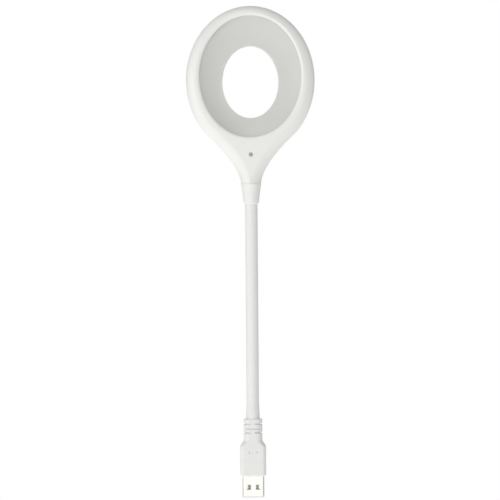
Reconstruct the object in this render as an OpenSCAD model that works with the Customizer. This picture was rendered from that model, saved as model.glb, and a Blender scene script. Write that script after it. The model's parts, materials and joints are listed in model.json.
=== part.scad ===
// Reading lamp with a ring-shaped head on a gooseneck that plugs into a charging socket.
// Origin: centre of the plug's seating face, where the metal shell leaves the overmould.
// +Z runs up the gooseneck to the head, +X is to the right, and the light faces -Y.

/* [Head] */
// Width of the head
head_w = 71.4; // [60:1:86]
// Height of the round part of the head, as a full oval
head_h = 82.2; // [70:0.2:98]
// Thickness of the head
head_t = 12; // [11.6:0.2:15]
// Wall thickness of both casing halves
wall = 1.5; // [1.2:0.1:1.8]
// Width of the lit ring's outer edge
lit_w = 56.6; // [48:0.1:58]
// Height of the lit ring's outer edge
lit_h = 67.6; // [58:0.1:70]
// Width of the hole through the head
hole_w = 31.2; // [24:0.5:36]
// Height of the hole through the head
hole_h = 40; // [32:0.5:44]
// How far the lit ring's centre is above the head's centre
lit_rise = 1.8; // [0:0.1:3]
// How far the hole's centre is below the head's centre
hole_drop = 1.05; // [0:0.05:3]
// Depth of the dish from the casing's front wall to the hole
dish_d = 3.4; // [2:0.1:4]
// Diameter of the touch contact
touch_d = 1.4; // [1.2:0.1:2]

/* [Gooseneck] */
// Outer diameter of the silicone sleeve
sleeve_d = 6.9; // [6.6:0.1:7.3]
// Outer diameter of the metal hose
hose_d = 5.4; // [5.2:0.1:5.6]
// Distance from the first bending point to the last one
bend_l = 100; // [80:1:120]
// Number of bending points
bends = 10; // [10:1:10]
// Diameter of each wire of the lead
wire_d = 0.75; // [0.6:0.05:0.8]

/* [Collar] */
// Length of the rubber collar below the head
collar_l = 11.5; // [9:0.5:14]
// Diameter of the collar at its lower end
collar_d = 8.5; // [8.2:0.1:10]
// Diameter of the collar at the head
collar_top_d = 11.2; // [11:0.1:12]

/* [Plug] */
// Width of the overmould
plug_w = 14.3; // [14:0.1:16]
// Thickness of the overmould
plug_t = 8.6; // [8.4:0.1:9]
// Length of the overmould's wide part
plug_l = 16.4; // [14:0.2:20]
// Length of the shoulder between the wide part and the strain relief
shoulder_l = 3.3; // [2:0.1:5]
// Length of the strain relief above the shoulder
relief_l = 12; // [12:0.1:16]
// Width of the strain relief
relief_w = 10.4; // [10.4:0.1:12]
// Width of the metal plug shell
shell_w = 12; // [12:0.1:12]
// Thickness of the metal plug shell
shell_t = 4.5; // [4.5:0.1:4.5]
// Length of the metal plug shell outside the overmould
shell_out = 11.9; // [11.8:0.1:12.4]

/* [Hidden] */
$fn = 48;
eps = 0.01;

// Heights along the lamp, from the seating face up
stiff_l = 13.3;
free_l = 5.8;
shoulder_z = plug_l + shoulder_l;
relief_z = shoulder_z + relief_l;
first_bend_z = relief_z + stiff_l;
pitch = bend_l / (bends - 1);
last_bend_z = first_bend_z + bend_l;
collar_z = last_bend_z + free_l;
seam_z = collar_z + collar_l;
neck_h = 16.3;
head_z = seam_z + neck_h + head_h / 2;
lit_z = head_z + lit_rise;
hole_z = head_z - hole_drop;

// Bending points: ball in the lower hose length, cup in the upper one
sleeve_r = sleeve_d / 2;
hose_r = hose_d / 2;
ball_r = hose_r - 0.2;
joint_gap = 0.25;
stem_r = 1.35;
lead_bore_r = 0.95;
lead_tail = 4.4;
wire_r = wire_d / 2;
wire_x = wire_r + 0.07;
wire_bend_r = wire_r + 0.05;
wire_lift = 0.06;
flare_r = sleeve_r + 0.35;

// Casing
half_t = head_t / 2;
neck_r = collar_top_d / 2;
lip = 1.2;
lip_d = 0.9;
rim_round = 5.4;
end_wall = 2;
hole_round = 1.6;
diffuser_wall = 1.3;
flange = 1.2;
dish_front_y = -half_t + wall;
dish_back_y = dish_front_y + dish_d;
skirt_y = dish_back_y + 1.8;
join_angle = 141;
end_angle = 176;
neck_pull = 3;
oval_pull = 20;
oval_steps = 25;
neck_steps = 7;
edge_steps = 5;

// Boards inside the head
board_t = 1;
led_board_y = half_t - wall - 1.2 - board_t;
led_board_w = lit_w - 2;
led_board_h = lit_h - 2;
led_board_bore = 6;
led_count = 30;
led_size = [3.5, 0.8, 2.8];
// Posts behind the LED board, as shares of its size, and how far a post sinks into the wall
post_x = 0.31;
post_z = 0.36;
post_r = 1.5;
post_sink = 0.2;
control_board_w = 10;
control_board_l = 13.4;
control_board_y = 1.5;
board_wire_y = control_board_y - wire_r - wire_lift;
pad_x = 3;
pad_rise = 2.1;
pad_l = 1.6;
control_board_z = seam_z + 13;
touch_z = seam_z + 16;
touch_r = touch_d / 2;
touch_gap = 0.5;
touch_hole_r = touch_r + touch_gap;
touch_bevel = 0.15;
touch_dome = 0.35;
touch_flange = 0.9;
spring_r = 1.1;
spring_wire_r = 0.2;
spring_turns = 4;

// Hose clamp in the neck of the head
clamp_z = seam_z + 10.5;
clamp_l = 4;
clamp_w = 13.6;
clamp_screw_x = 5.6;
clamp_face_y = 0.6;
clamp_ear_t = 1.2;
boss_r = 1.4;
screw_head_r = 1.35;
screw_r = 1;
screw_l = 4.4;
screw_hole_l = 4.6;
screw_head_l = 1;
ferrule_wall = 0.6;
ferrule_r = hose_r + ferrule_wall;
upper_ferrule_z = seam_z + 4.4;
upper_ferrule_l = 8.2;
hose_end_z = upper_ferrule_z + upper_ferrule_l;
collar_spigot_l = end_wall;
sleeve_in = 3.5;
collar_spigot_r = sleeve_r + 0.7;

// Plug
seat_rim = 0.25;
plug_corner = (plug_w - shell_w) / 2 - seat_rim;
relief_sleeve_z = shoulder_z + 1.8;
lower_ferrule_z = plug_l - 1.6;
lower_ferrule_l = relief_sleeve_z - lower_ferrule_z;
hose_start_z = lower_ferrule_z;
premould_w = shell_w + 1;
premould_t = shell_t + 1.6;
premould_z = 1.4;
shell_wall = 0.3;
shell_in = 5.4;
shell_hole = 2.5;
shell_hole_x = 2.5;
shell_hole_z = -6.1;
relief_step = 0.3;
slot_h = 0.7;
slot_d = 0.9;
slot_r = sleeve_r + 0.2;
slot_round = 3.2;
slot_bridge = 2.6;
side_bridge = 2;
side_slots = [shoulder_z + 4.4, shoulder_z + 9.25];
front_slots = [shoulder_z + 6.5];
tongue_w = 10.8;
tongue_t = 1.9;
tongue_in = 6.4;
tongue_gap = 1.2;
contact_gap = 1.8;
contact_x = [-3.5, -1, 1, 3.5];
contact_w = 1;
contact_t = 0.3;
contact_y = shell_t / 2 - shell_wall - tongue_t;
tail_l = 1.8;

function bend_z(k) = first_bend_z + (k - 1) * pitch;
function unit(v) = v / norm(v);
function mix(a, b, s) = a + (b - a) * s;

// Point and outward direction on an upright oval, at an angle clockwise from its top
function oval_at(w, h, z, t) = [w / 2 * sin(t), z + h / 2 * cos(t)];
function oval_out(w, h, t) = unit([h * sin(t), w * cos(t)]);

// Cubic curve from the neck's end up to the oval, and its direction
neck_end = [neck_r, seam_z];
oval_join = oval_at(head_w, head_h, head_z, join_angle);
join_out = oval_out(head_w, head_h, join_angle);
neck_pull_end = neck_end + [0, neck_pull];
oval_pull_end = oval_join + oval_pull * [join_out[1], -join_out[0]];
function neck_at(s) =
    pow(1 - s, 3) * neck_end + 3 * pow(1 - s, 2) * s * neck_pull_end
    + 3 * (1 - s) * s * s * oval_pull_end + pow(s, 3) * oval_join;
function neck_out(s) =
    let (d = pow(1 - s, 2) * (neck_pull_end - neck_end)
        + 2 * (1 - s) * s * (oval_pull_end - neck_pull_end) + s * s * (oval_join - oval_pull_end))
    unit([d[1], -d[0]]);

// Right half of the head's outline from top to neck end: [point, outward, angle on the ovals]
right_half = concat(
    [for (i = [0:oval_steps]) let (t = join_angle * i / oval_steps)
        [oval_at(head_w, head_h, head_z, t), oval_out(head_w, head_h, t), t]],
    [for (i = [1:neck_steps]) let (s = 1 - i / neck_steps)
        [neck_at(s), neck_out(s), mix(join_angle, end_angle, i / neck_steps)]]
);
half_count = len(right_half);
function mirrored(p) = [[-p[0][0], p[0][1]], [-p[1][0], p[1][1]], 360 - p[2]];
outline = concat(right_half, [for (i = [half_count - 1:-1:1]) mirrored(right_half[i])]);

// Width of the rounded edge at an outline point, kept clear of the lit ring's lip
function edge_w(p) =
    min(norm(p[0] - oval_at(lit_w, lit_h, lit_z, p[2])) - lip - 0.3, rim_round);

// Height of the rounded edge at an angle, from 0 at the parting line to 1 at the face
function rim_rise(a) = sign(a) * pow(1 - pow(abs(cos(a)), 1.2), 1 / 3);

// One ring of 3D points each: inward from the outline, or outward from an oval
function in_ring(d, y, floor_z) = [for (p = outline)
    let (q = p[0] - d * p[1]) [q[0], y, max(q[1], floor_z)]];
function edge_ring(a, inset, floor_z) = [for (p = outline)
    let (q = p[0] - (inset + (edge_w(p) - inset) * (1 - cos(a))) * p[1])
    [q[0], (half_t - inset) * rim_rise(a), max(q[1], floor_z)]];
function oval_ring(w, h, z, d, y) = [for (p = outline)
    let (q = oval_at(w, h, z, p[2]) + d * oval_out(w, h, p[2])) [q[0], y, q[1]]];
function dish_ring(s, y) = [for (p = outline)
    let (q = mix(oval_at(lit_w, lit_h, lit_z, p[2]), oval_at(hole_w, hole_h, hole_z, p[2]), s))
    [q[0], y, q[1]]];

// Closed skin through rings of equal length, where the last ring joins the first
module ring_skin(rings) {
    n = len(rings[0]);
    m = len(rings);
    points = [for (r = rings) each r];
    faces = [for (j = [0:m - 1], i = [0:n - 1])
        let (a = j * n + i, b = j * n + (i + 1) % n,
            c = ((j + 1) % m) * n + i, d = ((j + 1) % m) * n + (i + 1) % n)
        each [[a, b, c], [b, d, c]]];
    polyhedron(points, faces, convexity = 8);
}

// Tube swept along points that lie on a helix about the Y axis
module helix(r, wire, y0, y1, turns) {
    sides = 6;
    steps = turns * 14;
    ring = [for (i = [0:steps]) let (a = 360 * turns * i / steps, y = mix(y0, y1, i / steps))
        [for (k = [0:sides - 1]) let (b = 360 * k / sides)
            [(r + wire * cos(b)) * cos(a), y + wire * sin(b), (r + wire * cos(b)) * sin(a)]]];
    points = [for (q = ring) each q];
    walls = [for (i = [0:steps - 1], k = [0:sides - 1])
        let (a = i * sides + k, b = i * sides + (k + 1) % sides)
        each [[a, b, a + sides], [b, b + sides, a + sides]]];
    caps = [[for (k = [sides - 1:-1:0]) k], [for (k = [0:sides - 1]) steps * sides + k]];
    polyhedron(points, concat(walls, caps), convexity = 8);
}

module at_y(x, y, z) {
    translate([x, y, z]) rotate([-90, 0, 0]) children();
}

module rounded_box(w, t, r, z0, z1) {
    translate([0, 0, z0]) linear_extrude(z1 - z0) {
        square([w - 2 * r, t], center = true);
        square([w, t - 2 * r], center = true);
        for (x = [-1, 1], y = [-1, 1])
            translate([x * (w / 2 - r), y * (t / 2 - r)]) circle(r);
    }
}

// Round wires through a row of points, with a ball at each bend
module wire(points) {
    for (i = [0:len(points) - 2]) {
        v = points[i + 1] - points[i];
        translate(points[i])
            rotate([0, acos(v[2] / norm(v)), atan2(v[1], v[0])])
            cylinder(h = norm(v), r = wire_r, $fn = 24);
    }
    for (i = [1:1:len(points) - 2])
        translate(points[i]) sphere(wire_bend_r, $fn = 24);
}

// ---------------------------------------------------------------- plug

module overmould_front() {
    top_w = relief_w / 2 + relief_step;
    steps = 8;
    right = concat(
        [for (i = [0:4]) let (a = -90 + 90 * i / 4)
            [plug_w / 2 - plug_corner + plug_corner * cos(a), plug_corner + plug_corner * sin(a)]],
        [for (i = [0:steps]) let (s = i / steps)
            [mix(plug_w / 2, top_w, (1 - cos(180 * s)) / 2), mix(plug_l, shoulder_z, s)]]
    );
    polygon(concat(right, [for (i = [len(right) - 1:-1:0]) [-right[i][0], right[i][1]]]));
}

module slot(z, across) {
    difference() {
        translate([-plug_w / 2, -plug_t, z - slot_h / 2]) cube([plug_w, 2 * plug_t, slot_h]);
        rounded_box(relief_w - 2 * slot_d, 2 * slot_r, slot_round, 0, 2 * relief_z);
        if (across)
            for (x = [-1, 1])
                translate([x * relief_w / 2, 0, z])
                    cube([side_bridge, 2 * plug_t, 2 * slot_h], center = true);
        else
            translate([0, 0, z]) cube([slot_bridge, 3 * plug_t, 2 * slot_h], center = true);
    }
}

module plug_overmould() {
    color("whitesmoke") difference() {
        union() {
            intersection() {
                rounded_box(plug_w, plug_t, 2.2, 0, shoulder_z);
                translate([0, plug_t, 0]) rotate([90, 0, 0])
                    linear_extrude(2 * plug_t) overmould_front();
            }
            rounded_box(relief_w, plug_t - relief_step, 3.6, plug_l, relief_z);
        }
        rounded_box(shell_w, shell_t, 0.6, -eps, premould_z);
        rounded_box(premould_w, premould_t, 0.8, premould_z, lower_ferrule_z);
        translate([0, 0, lower_ferrule_z - eps]) cylinder(h = lower_ferrule_l + eps, r = ferrule_r);
        translate([0, 0, relief_sleeve_z - eps]) cylinder(h = relief_l, r = sleeve_r);
        for (z = side_slots) slot(z, false);
        for (z = front_slots) slot(z, true);
    }
}

module plug_premould() {
    color("gainsboro") difference() {
        rounded_box(premould_w, premould_t, 0.8, premould_z, lower_ferrule_z);
        rounded_box(shell_w, shell_t, 0.6, premould_z - eps, shell_in);
        rounded_box(tongue_w, shell_t - 2 * shell_wall, 0.3, shell_in - eps, tongue_in);
        for (x = contact_x)
            translate([x - contact_w / 2, contact_y, tongue_in - eps])
                cube([contact_w, contact_t, tail_l + eps]);
        translate([0, 0, lower_ferrule_z - 5]) cylinder(h = 5 + eps, r = 1.6);
    }
}

module plug_shell() {
    color("silver") difference() {
        rounded_box(shell_w, shell_t, 0.6, -shell_out, shell_in);
        rounded_box(shell_w - 2 * shell_wall, shell_t - 2 * shell_wall, 0.3, -shell_out - 1, shell_in + 1);
        for (x = [-1, 1])
            translate([x * shell_hole_x, 0, shell_hole_z])
                cube([shell_hole, 2 * shell_t, shell_hole + 0.3], center = true);
    }
}

module plug_tongue() {
    inner_t = shell_t - 2 * shell_wall;
    color("white") difference() {
        union() {
            translate([-tongue_w / 2, inner_t / 2 - tongue_t, -shell_out + tongue_gap])
                cube([tongue_w, tongue_t, shell_out]);
            rounded_box(tongue_w, inner_t, 0.3, -1, tongue_in);
        }
        for (x = contact_x)
            translate([x - contact_w / 2, inner_t / 2 - tongue_t - eps, -shell_out])
                cube([contact_w, contact_t + eps, shell_out - 1 + eps]);
        for (x = contact_x)
            translate([x - contact_w / 2, inner_t / 2 - tongue_t, -1 - eps])
                cube([contact_w, contact_t, tongue_in + 2]);
    }
}

module plug_contacts() {
    color("gold") for (x = contact_x)
        translate([x - contact_w / 2, contact_y, -shell_out + contact_gap])
            cube([contact_w, contact_t, shell_out - contact_gap + tongue_in + tail_l]);
}

module lower_ferrule() {
    color("silver") translate([0, 0, lower_ferrule_z]) difference() {
        cylinder(h = lower_ferrule_l, r = ferrule_r);
        translate([0, 0, -eps]) cylinder(h = lower_ferrule_l + 1, r = hose_r);
    }
}

// ---------------------------------------------------------------- gooseneck

// Heights where length k of the hose, sleeve and lead starts and ends
function hose_lo(k) = k == 0 ? hose_start_z : bend_z(k);
function hose_hi(k) = k == bends ? hose_end_z : bend_z(k + 1);
function sleeve_lo(k) = k == 0 ? relief_sleeve_z : bend_z(k);
function sleeve_hi(k) = k == bends ? seam_z + sleeve_in : bend_z(k + 1);

module hose_length(k) {
    lo = hose_lo(k);
    hi = hose_hi(k);
    color("dimgray") difference() {
        union() {
            difference() {
                translate([0, 0, lo]) cylinder(h = hi - lo, r = hose_r);
                if (k < bends)
                    translate([0, 0, hi]) sphere(sleeve_r + joint_gap);
            }
            if (k < bends) {
                translate([0, 0, hi - sleeve_r - 1]) cylinder(h = sleeve_r + 1, r = stem_r);
                translate([0, 0, hi]) sphere(ball_r);
            }
        }
        if (k > 0)
            translate([0, 0, lo]) sphere(ball_r + joint_gap);
        translate([0, 0, lo - 1]) cylinder(h = hi - lo + 2 + ball_r, r = lead_bore_r);
    }
}

module sleeve_length(k) {
    lo = sleeve_lo(k);
    hi = sleeve_hi(k);
    color("whitesmoke") difference() {
        union() {
            translate([0, 0, lo]) cylinder(h = hi - lo, r = sleeve_r);
            if (k > 0)
                translate([0, 0, lo]) sphere(sleeve_r);
            if (k == 0)
                translate([0, 0, relief_z]) cylinder(h = hi - relief_z - 3, r1 = flare_r, r2 = sleeve_r);
        }
        translate([0, 0, lo - sleeve_d]) cylinder(h = hi - lo + 2 * sleeve_d, r = hose_r);
        if (k < bends)
            translate([0, 0, hi]) sphere(sleeve_r + joint_gap);
    }
}

module lead_length(k) {
    lo = k == 0 ? lower_ferrule_z - lead_tail : bend_z(k) + ball_r + joint_gap + 0.3;
    hi = k == bends ? hose_end_z : bend_z(k + 1) + ball_r - 0.6;
    color("firebrick") for (x = [-1, 1]) {
        if (k < bends)
            wire([[x * wire_x, 0, lo], [x * wire_x, 0, hi]]);
        else
            wire([[x * wire_x, 0, lo], [x * wire_x, 0, hi + 0.5],
                [x * pad_x, board_wire_y, hi + pad_rise],
                [x * pad_x, board_wire_y, hi + pad_rise + pad_l]]);
    }
}

// ---------------------------------------------------------------- head

module neck_collar() {
    rounding = 1;
    low_r = collar_d / 2;
    color("whitesmoke") difference() {
        union() {
            rotate_extrude() polygon(concat(
                [[0, collar_z]],
                [for (i = [0:4]) let (a = -90 + 90 * i / 4)
                    [low_r - rounding + rounding * cos(a), collar_z + rounding + rounding * sin(a)]],
                [[neck_r, seam_z], [0, seam_z]]));
            translate([0, 0, seam_z - eps]) cylinder(h = collar_spigot_l + eps, r = collar_spigot_r);
        }
        translate([0, 0, collar_z - 1]) cylinder(h = collar_l + collar_spigot_l + 2, r = sleeve_r);
    }
}

module front_casing() {
    floor_z = seam_z + end_wall;
    inner = half_t - wall;
    outer_edge = [for (i = [0:edge_steps]) edge_ring(-90 * i / edge_steps, 0, 0)];
    inner_edge = [for (i = [edge_steps:-1:0]) edge_ring(-90 * i / edge_steps, wall, floor_z)];
    color("whitesmoke") difference() {
        ring_skin(concat(
            outer_edge,
            [oval_ring(lit_w, lit_h, lit_z, lip, -half_t),
                oval_ring(lit_w, lit_h, lit_z, 0, -half_t + lip_d),
                oval_ring(lit_w, lit_h, lit_z, 0, -inner)],
            inner_edge));
        translate([0, 0, seam_z - 1]) cylinder(h = end_wall + 2, r = collar_spigot_r);
        at_y(0, -half_t - 1, touch_z) cylinder(h = wall + 2, r = touch_hole_r);
        at_y(0, -half_t - eps, touch_z)
            cylinder(h = touch_bevel, r1 = touch_hole_r + touch_bevel, r2 = touch_hole_r);
    }
}

module rear_casing() {
    floor_z = seam_z + end_wall;
    inner = half_t - wall;
    outer_edge = [for (i = [edge_steps:-1:0]) edge_ring(90 * i / edge_steps, 0, 0)];
    inner_edge = [for (i = [0:edge_steps]) edge_ring(90 * i / edge_steps, wall, floor_z)];
    hole_edge = [for (i = [0:3]) let (a = 90 * i / 3)
        oval_ring(hole_w, hole_h, hole_z, hole_round * (1 - sin(a)), half_t - hole_round * (1 - cos(a)))];
    color("whitesmoke") difference() {
        union() {
            ring_skin(concat(
                inner_edge,
                [oval_ring(hole_w, hole_h, hole_z, wall, inner),
                    oval_ring(hole_w, hole_h, hole_z, wall, skirt_y),
                    oval_ring(hole_w, hole_h, hole_z, 0, skirt_y)],
                [for (i = [3:-1:0]) hole_edge[i]],
                outer_edge));
            for (x = [-1, 1])
                at_y(x * clamp_screw_x, clamp_face_y, clamp_z)
                    cylinder(h = inner - clamp_face_y + post_sink, r = boss_r);
            for (x = [-1, 1], z = [-1, 1])
                at_y(x * led_board_w * post_x, led_board_y + board_t, lit_z + z * led_board_h * post_z)
                    cylinder(h = inner - led_board_y - board_t + post_sink, r = post_r);
        }
        translate([0, 0, seam_z - 1]) cylinder(h = end_wall + 2, r = collar_spigot_r);
        for (x = [-1, 1])
            at_y(x * clamp_screw_x, clamp_face_y - 1, clamp_z) cylinder(h = screw_hole_l, r = screw_r);
    }
}

module diffuser() {
    dish_steps = 7;
    back = diffuser_wall;
    front_face = [for (i = [0:dish_steps]) let (s = i / dish_steps)
        dish_ring(s, mix(dish_front_y, dish_back_y, sin(90 * s)))];
    back_face = [for (i = [dish_steps - 1:-1:1]) let (s = i / dish_steps)
        dish_ring(s, mix(dish_front_y, dish_back_y, sin(90 * s)) + back)];
    color("lightgray") ring_skin(concat(
        [oval_ring(lit_w, lit_h, lit_z, flange, dish_front_y)],
        front_face,
        [oval_ring(hole_w, hole_h, hole_z, 0, skirt_y),
            oval_ring(hole_w, hole_h, hole_z, back, skirt_y)],
        back_face,
        [oval_ring(lit_w, lit_h, lit_z, flange, dish_front_y + back)]));
}

module oval_plate(w, h) {
    polygon([for (i = [0:63]) oval_at(w, h, 0, 360 * i / 64)]);
}

module led_board() {
    color("white") translate([0, led_board_y + board_t, 0]) rotate([90, 0, 0])
        linear_extrude(board_t) difference() {
            translate([0, lit_z]) oval_plate(led_board_w, led_board_h);
            translate([0, hole_z]) oval_plate(hole_w + led_board_bore, hole_h + led_board_bore);
        }
}

module leds() {
    color("gold") for (i = [0:led_count - 1]) {
        t = 360 * (i + 0.5) / led_count;
        outer = oval_at(led_board_w, led_board_h, lit_z, t);
        inner = oval_at(hole_w + led_board_bore, hole_h + led_board_bore, hole_z, t);
        mid = mix(outer, inner, 0.5);
        translate([mid[0], led_board_y - led_size[1] / 2, mid[1]]) rotate([0, t, 0])
            cube(led_size, center = true);
    }
}

module control_board() {
    color("seagreen") translate([-control_board_w / 2, control_board_y, control_board_z])
        cube([control_board_w, board_t, control_board_l]);
}

module board_parts() {
    part_y = control_board_y;
    color("dimgray") {
        translate([-2, part_y - 1.2, control_board_z + 6.6]) cube([4, 1.2, 3]);
        translate([-4.7, part_y - 1.6, control_board_z + 6.4]) cube([2.4, 1.6, 3.2]);
        for (x = [2.4, 3.6], z = [6.4, 8.8])
            translate([x, part_y - 0.6, control_board_z + z]) cube([0.8, 0.6, 1.6]);
    }
}

module board_wires() {
    start_z = control_board_z + control_board_l - 1.4;
    end_z = lit_z - led_board_h / 2 + 1.2;
    color("firebrick") for (x = [-1.2, 1.2])
        wire([[x, board_wire_y, start_z], [x, board_wire_y, start_z + 1.9],
            [x, led_board_y - wire_r - wire_lift, end_z]]);
}

module touch_contact() {
    color("silver") at_y(0, 0, touch_z) rotate_extrude() {
        polygon(concat(
            [for (i = [0:5]) let (a = 90 - 90 * i / 5)
                [touch_r * cos(a), -half_t + 0.5 - touch_dome * sin(a)]],
            [[touch_r, -half_t + wall], [touch_r + touch_flange, -half_t + wall],
                [touch_r + touch_flange, -half_t + wall + 0.6], [0.7, -half_t + wall + 0.6],
                [0.7, -half_t + wall + 1.4], [0, -half_t + wall + 1.4]]));
    }
}

module touch_spring() {
    color("goldenrod") translate([0, 0, touch_z])
        helix(spring_r, spring_wire_r, -half_t + wall + 0.6 + spring_wire_r,
            control_board_y - spring_wire_r, spring_turns);
}

module upper_ferrule() {
    color("silver") translate([0, 0, upper_ferrule_z]) difference() {
        cylinder(h = upper_ferrule_l, r = ferrule_r);
        translate([0, 0, -1]) cylinder(h = upper_ferrule_l + 2, r = hose_r);
    }
}

module hose_clamp() {
    color("gainsboro") difference() {
        union() {
            translate([-clamp_w / 2, clamp_face_y - clamp_ear_t, clamp_z - clamp_l / 2])
                cube([clamp_w, clamp_ear_t, clamp_l]);
            translate([0, 0, clamp_z - clamp_l / 2]) cylinder(h = clamp_l, r = ferrule_r + 0.8);
        }
        cylinder(h = 2 * clamp_z, r = ferrule_r);
        translate([-clamp_w, clamp_face_y, 0]) cube([2 * clamp_w, clamp_w, 2 * clamp_z]);
        for (x = [-1, 1])
            at_y(x * clamp_screw_x, -half_t, clamp_z) cylinder(h = head_t, r = screw_r);
    }
}

module clamp_screws() {
    head_y = clamp_face_y - clamp_ear_t;
    color("silver") for (x = [-1, 1]) {
        at_y(x * clamp_screw_x, head_y - eps, clamp_z) cylinder(h = screw_l, r = screw_r);
        at_y(x * clamp_screw_x, head_y - screw_head_l, clamp_z) difference() {
            cylinder(h = screw_head_l, r = screw_head_r);
            for (a = [0, 90])
                rotate([0, 0, a]) cube([1.8, 0.4, 0.9], center = true);
        }
    }
}

plug_overmould();
plug_premould();
plug_shell();
plug_tongue();
plug_contacts();
lower_ferrule();
for (k = [0:bends]) {
    hose_length(k);
    sleeve_length(k);
    lead_length(k);
}
neck_collar();
front_casing();
rear_casing();
diffuser();
led_board();
leds();
control_board();
board_parts();
board_wires();
touch_contact();
touch_spring();
upper_ferrule();
hose_clamp();
clamp_screws();
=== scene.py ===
"""Reading lamp with a ring-shaped head on a gooseneck that plugs into a charging socket.

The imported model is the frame. The visible skins of the head, the gooseneck and the plug are made
here as surfaces worked out with numpy, and the other nodes keep their shape and get a finish.
"""

import json
import math

import bpy
import numpy as np
from mathutils import Matrix, Vector


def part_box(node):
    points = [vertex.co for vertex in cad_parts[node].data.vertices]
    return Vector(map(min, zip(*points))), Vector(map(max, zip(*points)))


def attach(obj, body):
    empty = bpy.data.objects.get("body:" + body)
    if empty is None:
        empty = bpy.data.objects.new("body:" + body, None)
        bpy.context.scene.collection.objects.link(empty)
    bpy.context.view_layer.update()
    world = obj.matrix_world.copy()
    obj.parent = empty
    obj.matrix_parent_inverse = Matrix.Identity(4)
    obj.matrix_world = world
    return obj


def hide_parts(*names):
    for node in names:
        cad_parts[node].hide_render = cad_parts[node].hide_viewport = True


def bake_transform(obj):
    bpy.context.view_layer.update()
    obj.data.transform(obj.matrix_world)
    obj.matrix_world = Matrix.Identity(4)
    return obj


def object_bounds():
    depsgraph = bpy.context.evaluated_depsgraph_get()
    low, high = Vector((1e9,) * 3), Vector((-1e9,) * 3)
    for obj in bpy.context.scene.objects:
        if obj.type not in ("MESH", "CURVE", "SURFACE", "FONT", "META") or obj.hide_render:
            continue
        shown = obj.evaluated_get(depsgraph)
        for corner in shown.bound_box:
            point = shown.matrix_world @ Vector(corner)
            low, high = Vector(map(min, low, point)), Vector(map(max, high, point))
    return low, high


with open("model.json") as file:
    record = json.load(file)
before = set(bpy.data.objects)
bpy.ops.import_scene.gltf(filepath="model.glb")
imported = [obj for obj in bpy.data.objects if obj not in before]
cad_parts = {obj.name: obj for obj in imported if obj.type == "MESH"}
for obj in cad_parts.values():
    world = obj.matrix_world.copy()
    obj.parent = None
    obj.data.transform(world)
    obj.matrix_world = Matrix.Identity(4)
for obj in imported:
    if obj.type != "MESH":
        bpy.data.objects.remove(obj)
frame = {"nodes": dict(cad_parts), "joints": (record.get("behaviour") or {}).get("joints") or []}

CAD_BOX = [list(corner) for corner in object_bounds()]

bl_info = {
    "name": "Ring reading lamp",
    "version": (1, 0, 0),
    "blender": (4, 5, 0),
    "location": "View3D > Sidebar > Lamp",
    "description": "Builds the skins and finishes of a ring-shaped reading lamp on a gooseneck",
    "category": "Object",
}

MM = 0.001


def linear(hex_value):
    """The linear colour of an sRGB hex value such as #E9E9E5."""
    parts = [int(hex_value[i:i + 2], 16) / 255 for i in (1, 3, 5)]
    return [c / 12.92 if c <= 0.04045 else ((c + 0.055) / 1.055) ** 2.4 for c in parts]


def length(name, description, millimetres):
    """A length property with its default given in millimetres."""
    return bpy.props.FloatProperty(
        name=name, description=description, default=millimetres * MM, min=0, unit="LENGTH", precision=5)


def colour(name, description, hex_value):
    """A colour property with its default given as an sRGB hex value."""
    return bpy.props.FloatVectorProperty(
        name=name, description=description, default=linear(hex_value), min=0, max=1, subtype="COLOR")


# ------------------------------------------------------------------ sizes and colours


class HeadSizes(bpy.types.PropertyGroup):
    wall: length("Wall", "Wall thickness of both casing halves", 1.5)
    neck_height: length("Neck height", "Height of the casing's neck below its round part", 16.3)
    rim_round: length("Rim rounding", "Width of the casing's rounded outer edge", 5.4)
    lip: length("Lip", "Width of the bevel round the lit ring", 1.2)
    lip_depth: length("Lip depth", "Depth of the bevel round the lit ring", 0.9)
    flange: length("Flange", "How far the diffuser reaches behind the casing", 1.2)
    hole_width: length("Hole width", "Width of the hole through the head", 31.2)
    hole_height: length("Hole height", "Height of the hole through the head", 40)
    hole_drop: length("Hole drop", "How far the hole's centre is below the head's centre", 1.05)
    hole_round: length("Hole rounding", "Rounding of the hole's back edge", 1.6)
    skirt: length("Skirt", "Height of the diffuser's wall in the hole", 1.8)
    diffuser_wall: length("Diffuser wall", "Thickness of the diffuser", 1.3)
    touch_hole: length("Touch hole", "Diameter of the hole round the touch contact", 2.4)
    parting: length("Parting line", "Depth of the groove where the casing halves meet", 0.12)


class NeckSizes(bpy.types.PropertyGroup):
    flare: length("Flare", "How much the sleeve widens at the plug, on the radius", 0.35)
    flare_length: length("Flare length", "How far up the sleeve the widening reaches", 10)
    collar_end: length("Collar end", "Diameter of the collar at its lower end", 8.5)
    collar_rounding: length("Collar rounding", "Rounding of the collar's lower edge", 1)
    seam_rounding: length("Seam rounding", "Rounding of the collar's edge at the casing", 0.3)


class PlugSizes(bpy.types.PropertyGroup):
    body_length: length("Body length", "Length of the overmould's wide part", 16.4)
    shoulder: length("Shoulder", "Length of the shoulder above the wide part", 3.3)
    relief_width: length("Relief width", "Width of the strain relief", 10.4)
    edge: length("Edge rounding", "Rounding of the wide part's upright edges", 2.2)
    relief_edge: length("Relief rounding", "Rounding of the strain relief's upright edges", 3.6)
    slot_height: length("Slot height", "Height of each slot in the strain relief", 0.7)
    slot_depth: length("Slot depth", "Depth of each slot in the strain relief", 0.9)
    slot_bridge: length("Slot bridge", "Width of the bridge left in a side slot", 2.6)
    corner: length("Corner", "Rounding of the overmould's lower corners", 1.1)
    shell_wall: length("Shell wall", "Thickness of the metal plug shell's sheet", 0.3)
    hole: length("Latch hole", "Width of each square hole in the plug shell", 2.5)


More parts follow.
